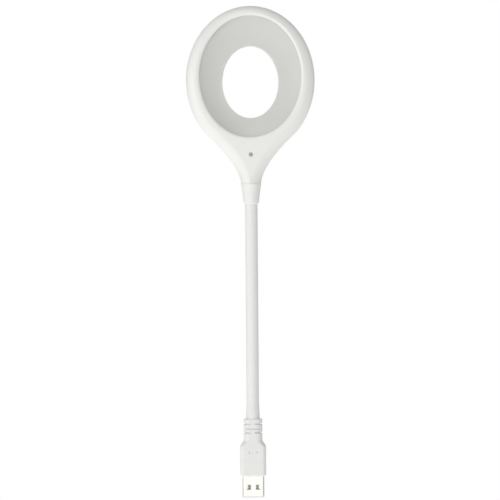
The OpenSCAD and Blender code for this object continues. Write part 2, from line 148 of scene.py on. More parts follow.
class Finishes(bpy.types.PropertyGroup):
    casing: colour("Casing", "White ABS of the casing", "#EDEDEA")
    diffuser: colour("Diffuser", "Milky polycarbonate of the lit ring", "#D3D4D0")
    sleeve: colour("Sleeve", "White silicone of the gooseneck's sleeve", "#ECECEA")
    collar: colour("Collar", "White rubber of the neck collar", "#EDEDEB")
    overmould: colour("Overmould", "White elastomer of the plug", "#EBEBE9")
    nickel: colour("Nickel", "Nickel plate of the plug shell", "#D9D8D3")


class StageSizes(bpy.types.PropertyGroup):
    camera_distance: length("Camera distance", "Distance from the camera to the lamp", 1500)
    frame_height: length("Frame height", "Height of the view at the lamp", 277.6)
    camera_roll: bpy.props.FloatProperty(
        name="Camera roll", description="How far the view is turned", default=math.radians(0.44),
        subtype="ANGLE", unit="ROTATION")
    floor_radius: length("Floor radius", "Radius of the floor", 2800)
    floor_drop: length("Floor drop", "Depth of the floor below the plug", 350)


def sizes(name):
    """The scene's property group of that name."""
    return getattr(bpy.context.scene, name)


# ------------------------------------------------------------------ surfaces


def unit(vectors):
    """Vectors divided by their lengths."""
    return vectors / np.linalg.norm(vectors, axis=-1, keepdims=True)


def smooth_step(x, low, high):
    """0 below low, 1 above high, and 3t^2 - 2t^3 between them."""
    t = np.clip((x - low) / (high - low), 0, 1)
    return t * t * (3 - 2 * t)


def oval(width, height, centre_z, angle):
    """Points and outward normals of an upright ellipse: x = w/2 sin t, z = centre + h/2 cos t."""
    point = np.stack([width / 2 * np.sin(angle), centre_z + height / 2 * np.cos(angle)], -1)
    outward = unit(np.stack([height * np.sin(angle), width * np.cos(angle)], -1))
    return point, outward


def lathe(profile, count=96):
    """Rings of points turned about Z from a profile of (radius, height) rows."""
    turn = np.linspace(0, 2 * np.pi, count, endpoint=False)
    radius, height = profile[:, :1], profile[:, 1:]
    ones = np.ones_like(turn)
    return np.stack([radius * np.cos(turn), radius * np.sin(turn), height * ones], -1)


def arc(centre, radius, start, end, steps):
    """Rows of points on a circle's arc, with its angles in degrees."""
    turn = np.radians(np.linspace(start, end, steps))
    return np.stack([centre[0] + radius * np.cos(turn), centre[1] + radius * np.sin(turn)], -1)


def ring_mesh(name, rings, closed=True, sharp_angle=35):
    """A mesh of quads through rings of points. Each ring is closed, and where closed is True the
    last ring joins the first, otherwise the two end rings are capped. Faces point outwards."""
    ring_count, count = rings.shape[:2]
    points = rings.reshape(-1, 3)
    j = np.arange(ring_count if closed else ring_count - 1)[:, None]
    i = np.arange(count)[None, :]
    here, there = j * count, (j + 1) % ring_count * count
    after = (i + 1) % count
    quads = np.stack([here + i, here + after, there + after, there + i], -1).reshape(-1, 4)
    faces = quads.tolist()
    if not closed:
        faces += [list(range(count))[::-1], list(range((ring_count - 1) * count, ring_count * count))]
    a, b, c, d = ((points - points.mean(0))[quads[:, k]] for k in range(4))
    volume = np.einsum("ij,ij->i", a, np.cross(b, c)).sum() + np.einsum("ij,ij->i", a, np.cross(c, d)).sum()
    if volume < 0:
        faces = [face[::-1] for face in faces]
    mesh = bpy.data.meshes.new(name)
    mesh.from_pydata(points.tolist(), [], faces)
    mesh.validate()
    mesh.shade_smooth()
    mesh.set_sharp_from_angle(angle=math.radians(sharp_angle))
    return mesh


def piece(name, mesh, finish, stands_for=()):
    """A linked object with its finish, with the nodes that it stands for hidden."""
    made = bpy.data.objects.new(name, mesh)
    bpy.context.scene.collection.objects.link(made)
    made.data.materials.clear()
    made.data.materials.append(finish)
    if stands_for:
        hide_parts(*stands_for)
    return made


def cut(made, rings):
    """Takes the closed solid through rings of points away from a piece."""
    tool = bpy.data.objects.new("tool", ring_mesh("tool", rings, closed=False))
    bpy.context.scene.collection.objects.link(tool)
    modifier = made.modifiers.new("cut", "BOOLEAN")
    modifier.operation = "DIFFERENCE"
    modifier.solver = "EXACT"
    modifier.object = tool
    bpy.context.view_layer.update()
    result = made.evaluated_get(bpy.context.evaluated_depsgraph_get())
    mesh = bpy.data.meshes.new_from_object(result)
    made.modifiers.clear()
    made.data = mesh
    bpy.data.objects.remove(tool)
    mesh.set_sharp_from_angle(angle=math.radians(35))


def turned_to_y(rings, x, z):
    """Rings turned so that their height runs along +Y, and moved to x and z."""
    return np.stack([rings[..., 0] + x, rings[..., 2], rings[..., 1] + z], -1)


# ------------------------------------------------------------------ finishes


def add(tree, kind, settings=(), links=()):
    """Adds a node of that kind, sets its attributes or input values, and links its inputs.
    settings and links are (name, value) pairs, and a link's value is an output socket."""
    made = tree.nodes.new("ShaderNode" + kind)
    for name, value in settings:
        if name in made.inputs:
            made.inputs[name].default_value = value
        else:
            setattr(made, name, value)
    for name, socket in links:
        tree.links.new(socket, made.inputs[name])
    return made


def new_finish(name):
    """A material with an empty tree but for its shader and output, with Object coordinates."""
    material = bpy.data.materials.new(name)
    material.use_nodes = True
    tree = material.node_tree
    shader = tree.nodes["Principled BSDF"]
    place = add(tree, "TexCoord").outputs["Object"]
    return material, tree, shader, place


def mottle(tree, place, shader, tint, share, size, seed=0):
    """Colour that varies by a small share over patches of that size, as pigment does."""
    settings = [("noise_dimensions", "4D"), ("W", seed), ("Scale", 1 / size), ("Detail", 3)]
    noise = add(tree, "TexNoise", settings, [("Vector", place)])
    darker = [c * (1 - share) for c in tint]
    ramp = add(tree, "ValToRGB", links=[("Fac", noise.outputs["Fac"])])
    ramp.color_ramp.elements[0].color = [*darker, 1]
    ramp.color_ramp.elements[0].position = 0.3
    ramp.color_ramp.elements[1].color = [*tint, 1]
    ramp.color_ramp.elements[1].position = 0.7
    tree.links.new(ramp.outputs["Color"], shader.inputs["Base Color"])
    return noise


def texture_bump(tree, shader, height, depth, strength=1.0):
    """Bump from a height socket, with its depth in metres."""
    bump = add(tree, "Bump", [("Strength", strength), ("Distance", depth)], [("Height", height)])
    tree.links.new(bump.outputs["Normal"], shader.inputs["Normal"])
    return bump


def rough_range(tree, shader, height, low, high):
    """Roughness that runs from low to high with a height socket."""
    spread = add(tree, "MapRange", [("To Min", low), ("To Max", high)], [("Value", height)])
    tree.links.new(spread.outputs["Result"], shader.inputs["Roughness"])


def moulded(name, tint, roughness, grain, depth, patches=0.012, share=0.012, soft=0.0):
    """A moulded plastic or rubber: faint pigment patches, a spark-eroded grain of that size in
    metres for the bump, and roughness that follows the grain a little."""
    material, tree, shader, place = new_finish(name)
    mottle(tree, place, shader, tint, share, patches)
    settings = [("Scale", 1 / grain), ("Detail", 2), ("Roughness", 0.6)]
    fine = add(tree, "TexNoise", settings, [("Vector", place)])
    texture_bump(tree, shader, fine.outputs["Fac"], depth)
    rough_range(tree, shader, fine.outputs["Fac"], roughness - 0.04, roughness + 0.06)
    shader.inputs["IOR"].default_value = 1.5
    if soft:
        shader.inputs["Subsurface Weight"].default_value = soft
        shader.inputs["Subsurface Radius"].default_value = (0.004, 0.004, 0.004)
        shader.inputs["Subsurface Scale"].default_value = 0.5
    return material


def drawn_metal(name, tint, roughness, line, stretch, depth=0.000004):
    """Rolled or drawn metal: lines of that spacing in metres, stretched along the given axes."""
    material, tree, shader, place = new_finish(name)
    mapped = add(tree, "Mapping", [("Scale", stretch)], [("Vector", place)])
    settings = [("Scale", 1 / line), ("Detail", 4)]
    lines = add(tree, "TexNoise", settings, [("Vector", mapped.outputs["Vector"])])
    mottle(tree, place, shader, tint, 0.06, 0.004)
    texture_bump(tree, shader, lines.outputs["Fac"], depth)
    rough_range(tree, shader, lines.outputs["Fac"], roughness - 0.06, roughness + 0.1)
    shader.inputs["Metallic"].default_value = 1.0
    return material


def wave_scale(spacing):
    """The wave texture's scale for bands that spacing apart, as its phase runs by 20 radians per unit."""
    return 2 * math.pi / 20 / spacing


def wound_hose(name):
    """Interlocked steel hose: a band every 2.6 mm along the hose, with dark joints between."""
    material, tree, shader, place = new_finish(name)
    settings = [("bands_direction", "Z"), ("wave_profile", "SAW"), ("Scale", wave_scale(2.6 * MM))]
    bands = add(tree, "TexWave", settings, [("Vector", place)])
    ramp = add(tree, "ValToRGB", links=[("Fac", bands.outputs["Fac"])])
    ramp.color_ramp.elements[0].color = [*linear("#3C3C3D"), 1]
    ramp.color_ramp.elements[1].color = [*linear("#A9A9A8"), 1]
    ramp.color_ramp.elements[1].position = 0.25
    tree.links.new(ramp.outputs["Color"], shader.inputs["Base Color"])
    texture_bump(tree, shader, bands.outputs["Fac"], 0.0001)
    shader.inputs["Metallic"].default_value = 1.0
    shader.inputs["Roughness"].default_value = 0.38
    return material


def turned_steel(name):
    """Stainless steel faced on a lathe: rings 0.24 mm apart about the contact's own axis."""
    material, tree, shader, place = new_finish(name)
    low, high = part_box("touch_contact")
    centre = (low + high) / 2
    middle = add(tree, "Mapping", [("Location", -centre)], [("Vector", place)])
    settings = [("wave_type", "RINGS"), ("rings_direction", "Y"), ("Scale", wave_scale(0.24 * MM))]
    rings = add(tree, "TexWave", settings, [("Vector", middle.outputs["Vector"])])
    mottle(tree, place, shader, linear("#B9B8B5"), 0.1, 0.001)
    texture_bump(tree, shader, rings.outputs["Fac"], 0.000006)
    shader.inputs["Metallic"].default_value = 1.0
    shader.inputs["Roughness"].default_value = 0.24
    return material


def circuit_board(name, mask, trace, pitch=0.0012):
    """Solder mask over copper: slightly raised traces a pitch apart, seen through the lacquer."""
    material, tree, shader, place = new_finish(name)
    settings = [("distance", "MANHATTAN"), ("feature", "DISTANCE_TO_EDGE")]
    settings += [("Scale", 1 / pitch), ("Randomness", 0.7)]
    cells = add(tree, "TexVoronoi", settings, [("Vector", place)])
    ramp = add(tree, "ValToRGB", links=[("Fac", cells.outputs["Distance"])])
    ramp.color_ramp.elements[0].color = [*trace, 1]
    ramp.color_ramp.elements[0].position = 0.08
    ramp.color_ramp.elements[1].color = [*mask, 1]
    ramp.color_ramp.elements[1].position = 0.14
    tree.links.new(ramp.outputs["Color"], shader.inputs["Base Color"])
    texture_bump(tree, shader, cells.outputs["Distance"], 0.00002)
    shader.inputs["Roughness"].default_value = 0.3
    return material


def make_finishes():
    """Every finish of the lamp, by name."""
    chosen = sizes("lamp_finishes")
    return {
        # ABS from a finely eroded mould: a soft sheen that breaks up at the rim
        "abs": moulded("moulded_white_abs", chosen.casing, 0.34, 0.00035, 0.000006),
        # Polycarbonate with a diffusing agent: light goes in a little, so its shading is soft
        "milky": moulded("milky_polycarbonate", chosen.diffuser, 0.42, 0.0006, 0.000008, soft=0.25),
        # Extruded silicone: dry, with a faint dusty grain
        "silicone": moulded("extruded_white_silicone", chosen.sleeve, 0.52, 0.0003, 0.00001, 0.006, 0.02),
        # Moulded rubber: duller than the casing beside it
        "rubber": moulded("moulded_white_rubber", chosen.collar, 0.5, 0.00025, 0.00001, 0.006, 0.02),
        # Elastomer moulded over the plug: matt, with a coarser eroded grain
        "elastomer": moulded("overmoulded_white_elastomer", chosen.overmould, 0.55, 0.0004, 0.000018,
                             0.005, 0.02),
        "nickel": drawn_metal("nickel_plated_strip", chosen.nickel, 0.26, 0.0012, (1, 1, 0.08)),
        "steel": drawn_metal("drawn_mild_steel", linear("#A5A5A4"), 0.36, 0.0008, (1, 1, 0.1)),
        "gold": drawn_metal("gold_flashed_bronze", linear("#D9D2BC"), 0.22, 0.0006, (1, 1, 0.1)),
        "copper": drawn_metal("spring_bronze_wire", linear("#C79058"), 0.3, 0.0004, (1, 1, 1)),
        "hose": wound_hose("interlocked_steel_hose"),
        "contact": turned_steel("faced_stainless_steel"),
        "nylon": moulded("natural_nylon", linear("#E4E2DA"), 0.4, 0.0003, 0.000008),
        "premould": moulded("polyethylene_premould", linear("#DADAD6"), 0.5, 0.0005, 0.00001, soft=0.15),
        "insulation": moulded("pvc_wire_insulation", linear("#A3231C"), 0.4, 0.0002, 0.000006),
        "epoxy": moulded("moulding_epoxy", linear("#1D1D1F"), 0.55, 0.00015, 0.00001),
        "phosphor": moulded("phosphor_silicone", linear("#E7D36A"), 0.35, 0.0002, 0.000006, soft=0.2),
        "mask_green": circuit_board("green_solder_mask", linear("#0E5A2C"), linear("#2E7D45")),
        "mask_white": circuit_board("white_solder_mask", linear("#EDEDE8"), linear("#DCDCD5")),
    }


FINISH = {}

# ------------------------------------------------------------------ head


def head_outline():
    """The casing's outline seen from the front: half an upright ellipse down to the join, then a
    cubic curve to the neck's end, and the same mirrored. Gives points, outward normals and the
    matching angle on the ovals, all clockwise from the top."""
    head = sizes("lamp_head")
    low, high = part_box("front_casing")
    width = high.x - low.x
    height = high.z - low.z - head.neck_height
    centre = high.z - height / 2
    join, end = math.radians(141), math.radians(176)
    over = np.linspace(0, join, 110)
    point, outward = oval(width, height, centre, over)
    collar_low, collar_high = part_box("neck_collar")
    start = np.array([(collar_high.x - collar_low.x) / 2, low.z])
    last, last_out = point[-1], outward[-1]
    up = start + [0, 3 * MM]
    down = last + 20 * MM * np.array([last_out[1], -last_out[0]])
    s = np.linspace(1, 0, 41)[1:, None]
    curve = (1 - s) ** 3 * start + 3 * (1 - s) ** 2 * s * up + 3 * (1 - s) * s * s * down + s ** 3 * last
    slope = (1 - s) ** 2 * (up - start) + 2 * (1 - s) * s * (down - up) + s * s * (last - down)
    curve_out = unit(np.stack([slope[:, 1], -slope[:, 0]], -1))
    angle = np.concatenate([over, join + (end - join) * (1 - s[:, 0])])
    point, outward = np.concatenate([point, curve]), np.concatenate([outward, curve_out])
    flip = np.array([-1, 1])
    return (np.concatenate([point, point[:0:-1] * flip]), np.concatenate([outward, outward[:0:-1] * flip]),
            np.concatenate([angle, 2 * np.pi - angle[:0:-1]]), centre)


# The lip round the lit ring, from the face down: shares of its width and of its depth
LIP_SHAPE = [
    (1.0, 0.01), (0.9, 0.04), (0.75, 0.11), (0.4, 0.3),
    (0.2, 0.43), (0.1, 0.5), (0.04, 0.58), (0, 0.7),
]


class HeadForm:
    """The rings that both casing halves and the diffuser are made of."""

    def __init__(self):
        head = self.sizes = sizes("lamp_head")
        self.point, self.outward, self.angle, self.centre = head_outline()
        low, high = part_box("diffuser")
        self.lit_width = high.x - low.x - 2 * head.flange
        self.lit_height = high.z - low.z - 2 * head.flange
        self.lit_z = (low.z + high.z) / 2
        self.hole_z = self.centre - head.hole_drop
        self.dish_front, self.skirt_end = low.y, high.y
        self.dish_back = high.y - head.skirt
        self.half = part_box("rear_casing")[1].y
        self.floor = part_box("front_casing")[0].z
        lit, _ = oval(self.lit_width, self.lit_height, self.lit_z, self.angle)
        band = np.linalg.norm(self.point - lit, axis=1) - head.lip - 0.3 * MM
        self.edge = np.minimum(band, head.rim_round)[:, None]

    def ring(self, flat, y, floor=None):
        """A ring of points from x and z pairs at the depth y, kept above a floor."""
        z = flat[:, 1] if floor is None else np.maximum(flat[:, 1], floor)
        return np.stack([flat[:, 0], np.full(len(flat), y), z], -1)

    def rim(self, degrees, side, inset=0.0, floor=None):
        """Ring on the rounded edge from the parting line, 0 degrees, to the flat face, 90 degrees:
        inward = width (1 - cos a) and height = half (1 - cos(a)^1.2)^(1/3), which slopes evenly
        over most of its width. side is -1 at the front and 1 at the back."""
        a = math.radians(degrees)
        inward = inset + (self.edge - inset) * (1 - math.cos(a))
        rise = (1 - abs(math.cos(a)) ** 1.2) ** (1 / 3)
        return self.ring(self.point - inward * self.outward, side * (self.half - inset) * rise, floor)

    def lit(self, out, y):
        """Ring a distance outside the lit ring's outer edge."""
        point, outward = oval(self.lit_width, self.lit_height, self.lit_z, self.angle)
        return self.ring(point + out * outward, y)

    def hole(self, out, y):
        """Ring a distance outside the hole's edge."""
        point, outward = oval(self.sizes.hole_width, self.sizes.hole_height, self.hole_z, self.angle)
        return self.ring(point + out * outward, y)

    def dish(self, share, lift=0.0):
        """Ring on the dish: a share of the way from the lit ring's edge to the hole, with its
        depth a quarter sine, so the dish falls steeply at its rim and flattens at the hole."""
        outer, _ = oval(self.lit_width, self.lit_height, self.lit_z, self.angle)
        inner, _ = oval(self.sizes.hole_width, self.sizes.hole_height, self.hole_z, self.angle)
        y = self.dish_front + (self.dish_back - self.dish_front) * math.sin(share * math.pi / 2) + lift
        return self.ring(outer + (inner - outer) * share, y)

    def flat_face(self, first, last, steps):
        """Rings evenly between two rings, without the two themselves."""
        shares = np.linspace(0, 1, steps + 2)[1:-1]
        return [first + (last - first) * share for share in shares]


class LAMP_OT_casing(bpy.types.Operator):
    """Makes the front and rear halves of the white casing"""
    bl_idname = "lamp.casing"
    bl_label = "Casing halves"

    def execute(self, context):
        form, head = HeadForm(), sizes("lamp_head")
        half, wall = form.half, head.wall
        inside = form.floor + 2 * MM
        angles = 90 * np.linspace(0, 1, 27)[1:] ** 1.7
        groove = [form.ring(form.point - head.parting * form.outward, 0),
                  form.ring(form.point - head.parting * 0.3 * form.outward, -head.parting * 0.5)]
        outer = [form.rim(a, -1) for a in angles]
        near_lip = form.lit(head.lip + 0.12 * MM, -half)
        face = form.flat_face(outer[-1], near_lip, 6)
        lip = [form.lit(head.lip * out, -half + head.lip_depth * down) for out, down in LIP_SHAPE]
        back = [form.lit(0, -half + wall)]
        inner = [form.rim(a, -1, wall, inside) for a in np.linspace(90, 0, 9)]
        front = piece("front_casing_shell", ring_mesh("front_casing_shell", np.array(
            groove + outer + face + [near_lip] + lip + back + inner)), FINISH["abs"],
            ["front_casing"])
        self.bore_neck(front, form)
        self.bore_touch_hole(front, form)
        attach(front, "head")

        outer = [form.rim(a, 1) for a in angles[::-1]]
        inner = [form.rim(a, 1, wall, inside) for a in np.linspace(0, 90, 9)]
        groove = [form.ring(form.point - head.parting * 0.3 * form.outward, head.parting * 0.5),
                  form.ring(form.point - head.parting * form.outward, 0)]
        flat_end = form.hole(head.hole_round + 0.12 * MM, half)
        round_turn = np.radians(np.linspace(0, 90, 9))
        hole_edge = [
            form.hole(head.hole_round * (1 - math.sin(a)), half - head.hole_round * (1 - math.cos(a)))
            for a in round_turn]
        well = [form.hole(0, y) for y in np.linspace(half - head.hole_round, form.skirt_end, 6)[1:]]
        rear = piece("rear_casing_shell", ring_mesh("rear_casing_shell", np.array(
            inner + [form.hole(wall, half - wall), form.hole(wall, form.skirt_end)]
            + well[::-1] + hole_edge[::-1] + [flat_end] + form.flat_face(flat_end, outer[0], 6)
            + outer + groove)), FINISH["abs"], ["rear_casing"])
        self.bore_neck(rear, form)
        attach(rear, "head")
        return {"FINISHED"}

    def bore_neck(self, made, form):
        """The round way for the collar's spigot and the sleeve through the neck's end."""
        radius = (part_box("sleeve_5")[1].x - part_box("sleeve_5")[0].x) / 2 + 0.7 * MM
        cut(made, lathe(np.array([[radius, form.floor - MM], [radius, form.floor + 3 * MM]])))

    def bore_touch_hole(self, made, form):
        """The countersunk hole for the touch contact."""
        low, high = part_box("touch_contact")
        radius, bevel = sizes("lamp_head").touch_hole / 2, 0.15 * MM
        past = 0.5 * MM
        profile = np.array([[radius + bevel + past, -form.half - past], [radius + bevel, -form.half],
                            [radius, -form.half + bevel], [radius, -form.half + 3 * MM]])
        cut(made, turned_to_y(lathe(profile, 48), 0, (low.z + high.z) / 2))


class LAMP_OT_diffuser(bpy.types.Operator):
    """Makes the dished milky ring"""
    bl_idname = "lamp.diffuser"
    bl_label = "Diffuser"

    def execute(self, context):
        form, head = HeadForm(), sizes("lamp_head")
        thick = head.diffuser_wall
        shares = np.linspace(0, 1, 29)
        front = [form.dish(s) for s in shares[:-1]]
        nose = [form.hole(0.25 * MM * (1 - math.sin(a)), form.dish_back + 0.25 * MM * (1 - math.cos(a)))
                for a in np.radians(np.linspace(0, 90, 6))]
        skirt = [form.hole(0, form.skirt_end), form.hole(thick, form.skirt_end)]
        back = [form.dish(s, thick) for s in shares[-3:0:-1]]
        rings = [form.lit(head.flange, form.dish_front)] + front + nose + skirt + back
        rings += [form.lit(head.flange, form.dish_front + thick)]
        made = piece("diffuser_ring", ring_mesh("diffuser_ring", np.array(rings)), FINISH["milky"],
                     ["diffuser"])
        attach(made, "head")
        return {"FINISHED"}


class LAMP_OT_touch_contact(bpy.types.Operator):
    """Makes the domed metal touch contact"""
    bl_idname = "lamp.touch_contact"
    bl_label = "Touch contact"

    def execute(self, context):
        low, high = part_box("touch_contact")
        flange, dome = (high.x - low.x) / 2, 0.35 * MM
        radius = flange - 0.9 * MM
        turn = np.radians(np.linspace(4, 90, 14))
        cap = np.stack([radius * np.sin(turn), low.y + dome * (1 - np.cos(turn))], -1)
        wall = sizes("lamp_head").wall - (low.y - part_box("front_casing")[0].y)
        rest = np.array([[radius, low.y + wall], [flange, low.y + wall], [flange, low.y + wall + 0.6 * MM],
                         [radius, low.y + wall + 0.6 * MM], [radius, high.y], [0.1 * MM, high.y]])
        rings = turned_to_y(lathe(np.concatenate([cap, rest]), 64), 0, (low.z + high.z) / 2)
        made = piece("touch_dot", ring_mesh("touch_dot", rings, closed=False), FINISH["contact"],
                     ["touch_contact"])
        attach(made, "head")
        return {"FINISHED"}


# ------------------------------------------------------------------ neck


class LAMP_OT_collar(bpy.types.Operator):
    """Makes the tapered rubber collar under the head"""
    bl_idname = "lamp.collar"
    bl_label = "Neck collar"

    def execute(self, context):
        neck = sizes("lamp_neck")
        low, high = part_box("neck_collar")
        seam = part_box("front_casing")[0].z
        sleeve = (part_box("sleeve_5")[1].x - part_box("sleeve_5")[0].x) / 2
        top, bottom = (high.x - low.x) / 2, neck.collar_end / 2
        rounding, seam_rounding = neck.collar_rounding, neck.seam_rounding
        lower = arc((bottom - rounding, low.z + rounding), rounding, -90, 0, 10)
        rise = np.linspace(0, 1, 16)[1:-1]
        side = np.stack([bottom + (top - bottom) * (0.72 * rise + 0.28 * rise ** 2),
                         low.z + rounding + (seam - seam_rounding - low.z - rounding) * rise], -1)
        upper = arc((top - seam_rounding, seam - seam_rounding), seam_rounding, 0, 90, 6)
        spigot_radius = sleeve + 0.65 * MM
        spigot = np.array([[spigot_radius, seam], [spigot_radius, high.z],
                           [sleeve, high.z], [sleeve, low.z]])
        rings = lathe(np.concatenate([lower, side, upper, spigot]))
        made = piece("collar_rubber_boot", ring_mesh("collar_rubber_boot", rings), FINISH["rubber"],
                     ["neck_collar"])
        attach(made, "head")
        return {"FINISHED"}


class LAMP_OT_sleeve(bpy.types.Operator):
    """Makes the silicone sleeve as one smooth tube, cut midway between the bending points"""
    bl_idname = "lamp.sleeve"
    bl_label = "Sleeve"

    def execute(self, context):
        neck = sizes("lamp_neck")
        joints = [joint for joint in frame["joints"] if joint["name"].startswith("bend_")]
        heights = [joint["pos_m"][2] for joint in joints]
        half_pitch = (heights[1] - heights[0]) / 2
        first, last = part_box("sleeve_0"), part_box(f"sleeve_{len(joints)}")
        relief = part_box("plug_overmould")[1].z
        radius = (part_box("sleeve_5")[1].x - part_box("sleeve_5")[0].x) / 2
        bore = radius - 0.85 * MM
        ends = [first[0].z] + [z + half_pitch for z in heights[:-1]] + [last[1].z]
        for k, joint in enumerate(joints):
            z = np.linspace(ends[k], ends[k + 1], 33)
            if k == 0:
                z = np.sort(np.append(z, [relief - 0.02 * MM, relief]))
            swell = neck.flare * (1 - smooth_step(z, relief, relief + neck.flare_length)) * (z >= relief)
            outer = np.stack([radius + swell, z], -1)
            inner = np.stack([np.full(9, bore), np.linspace(ends[k + 1], ends[k], 9)], -1)
            name = f"sleeve_bend_{k + 1}"
            stands_for = [f"sleeve_{k + 1}"] + (["sleeve_0"] if k == 0 else [])
            mesh = ring_mesh(name, lathe(np.concatenate([outer, inner]), 72))
            made = piece(name, mesh, FINISH["silicone"], stands_for)
            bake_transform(made)
        return {"FINISHED"}


# ------------------------------------------------------------------ plug


def rounded_loop(half_width, half_depth, rounding, count=57):
    """Loops of a rectangle with rounded corners, one per row of the half sizes. Each quarter is a
    straight run, a quarter circle of the rounding, and a straight run, with rows of equal count."""
    rows = (half_width, half_depth, rounding)
    width, depth, corner = (np.asarray(row, float)[:, None] for row in rows)
    corner = np.minimum(corner, np.minimum(width, depth) * 0.999)
    share = np.linspace(0, 1, count)[None, :]
    turn = np.clip((share - 0.25) / 0.5, 0, 1) * np.pi / 2
    before, after = np.clip(share / 0.25, 0, 1), np.clip((share - 0.75) / 0.25, 0, 1)
    x = (width - corner) * (1 - after) + corner * np.cos(turn)
    y = (depth - corner) * before + corner * np.sin(turn)
    x = np.concatenate([x[:, :-1], -x[:, :0:-1]], 1)
    y = np.concatenate([y[:, :-1], y[:, :0:-1]], 1)
    return np.concatenate([x, -x], 1), np.concatenate([y, -y], 1)


class LAMP_OT_overmould(bpy.types.Operator):
    """Makes the plug's soft body with its slotted strain relief"""
    bl_idname = "lamp.overmould"
    bl_label = "Plug overmould"

    def execute(self, context):
        plug = sizes("lamp_plug")
        low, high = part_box("plug_overmould")
        width, depth = (high.x - low.x) / 2, (high.y - low.y) / 2
        top_round = 0.6 * MM
        dimple_radius, dimple_depth = 0.6 * MM, 0.7 * MM
        dimple_x, dimple_drop = 2.1 * MM, 3.1 * MM
        relief, sleeve = plug.relief_width / 2, (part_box("sleeve_5")[1].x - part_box("sleeve_5")[0].x) / 2
        shoulder_top = plug.body_length + plug.shoulder
        z = np.concatenate([
            plug.corner * (1 - np.cos(np.radians(np.linspace(0, 90, 10)))),
            np.linspace(plug.corner, plug.body_length - MM, 14)[1:],
            np.linspace(plug.body_length - MM, shoulder_top + MM, 34)[1:],
            np.linspace(shoulder_top + MM, high.z - top_round, 110)[1:],
            high.z - top_round + top_round * np.sin(np.radians(np.linspace(0, 90, 10)))[1:]])
        rise = smooth_step(z, plug.body_length - 0.4 * MM, shoulder_top + 0.4 * MM)
        half_width = width + (relief - width) * rise
        half_depth = depth - 0.15 * MM * rise
        rounding = plug.edge + (plug.relief_edge - plug.edge) * rise
        lower = np.sqrt(np.clip(1 - (1 - z / plug.corner) ** 2, 0, 1))
        lower = np.where(z < plug.corner, lower, 1)
        upper = np.sqrt(np.clip(1 - ((z - high.z + top_round) / top_round) ** 2, 0, 1))
        upper = np.where(z > high.z - top_round, upper, 1)
        half_width = half_width - (1 - lower) * plug.corner - (1 - upper) * top_round
        half_depth = half_depth - (1 - lower) * 0.5 * MM - (1 - upper) * 0.25 * MM
        x, y = rounded_loop(half_width, half_depth, rounding)
        x, y = self.slots(x, y, z, shoulder_top, sleeve)
        outer = np.stack([x, y, np.repeat(z[:, None], x.shape[1], 1)], -1)
        rings = np.concatenate([outer, self.inside(high.z, sleeve)])
        made = piece("plug_body", ring_mesh("plug_body", rings), FINISH["elastomer"],
                     ["plug_overmould"])
        for side in (-1, 1):
            turn = np.radians(np.linspace(90, 8, 8))
            dimple = np.stack([dimple_radius * np.sin(turn), -depth + dimple_depth * np.cos(turn)], -1)
            dimple = np.concatenate([[[dimple_radius + 0.02 * MM, -depth - 0.4 * MM]], dimple])
            cut(made, turned_to_y(lathe(dimple, 32), side * dimple_x, plug.body_length - dimple_drop))
        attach(made, "plug")
        return {"FINISHED"}

    def slots(self, x, y, z, shoulder_top, sleeve):
        """Pulls the skin in by the slots' depth, and never into the sleeve: two slots that leave a
        bridge at the front and back, and one between them that leaves a bridge on each side."""
        plug = sizes("lamp_plug")
        soft, half = 0.12 * MM, plug.slot_height / 2
        reach = np.hypot(x, y)
        deep = np.maximum(reach - plug.slot_depth, sleeve + 0.1 * MM)
        side = smooth_step(np.abs(x), plug.slot_bridge / 2 - soft, plug.slot_bridge / 2 + soft)
        edge = plug.relief_width / 2 - 1 * MM
        across = 1 - smooth_step(np.abs(x), edge - soft, edge + soft)
        for height, where in ((4.4, side), (6.5, across), (9.25, side)):
            away = np.abs(z - shoulder_top - height * MM)[:, None]
            share = where * (1 - smooth_step(away, half - soft, half + soft))
            pull = 1 + share * (np.minimum(deep / reach, 1) - 1)
            x, y = x * pull, y * pull
        return x, y

    def inside(self, top, sleeve):
        """Rings down the sleeve's bore, round the premould and out round the metal shell."""
        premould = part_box("plug_premould")
        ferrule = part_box("lower_ferrule")
        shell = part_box("plug_shell")
        bore = (sleeve, sleeve, sleeve)
        block = (premould[1].x, premould[1].y, 0.8 * MM)
        mouth = (shell[1].x, shell[1].y, 0.6 * MM)
        well = (ferrule[1].x, ferrule[1].x, ferrule[1].x)
        rows = [(*bore, top), (*bore, ferrule[1].z), (*well, ferrule[1].z), (*well, ferrule[0].z),
                (*block, ferrule[0].z), (*block, premould[0].z), (*mouth, premould[0].z), (*mouth, 0)]
        table = np.array(rows)
        x, y = rounded_loop(table[:, 0], table[:, 1], table[:, 2])
        return np.stack([x, y, np.repeat(table[:, 3:4], x.shape[1], 1)], -1)


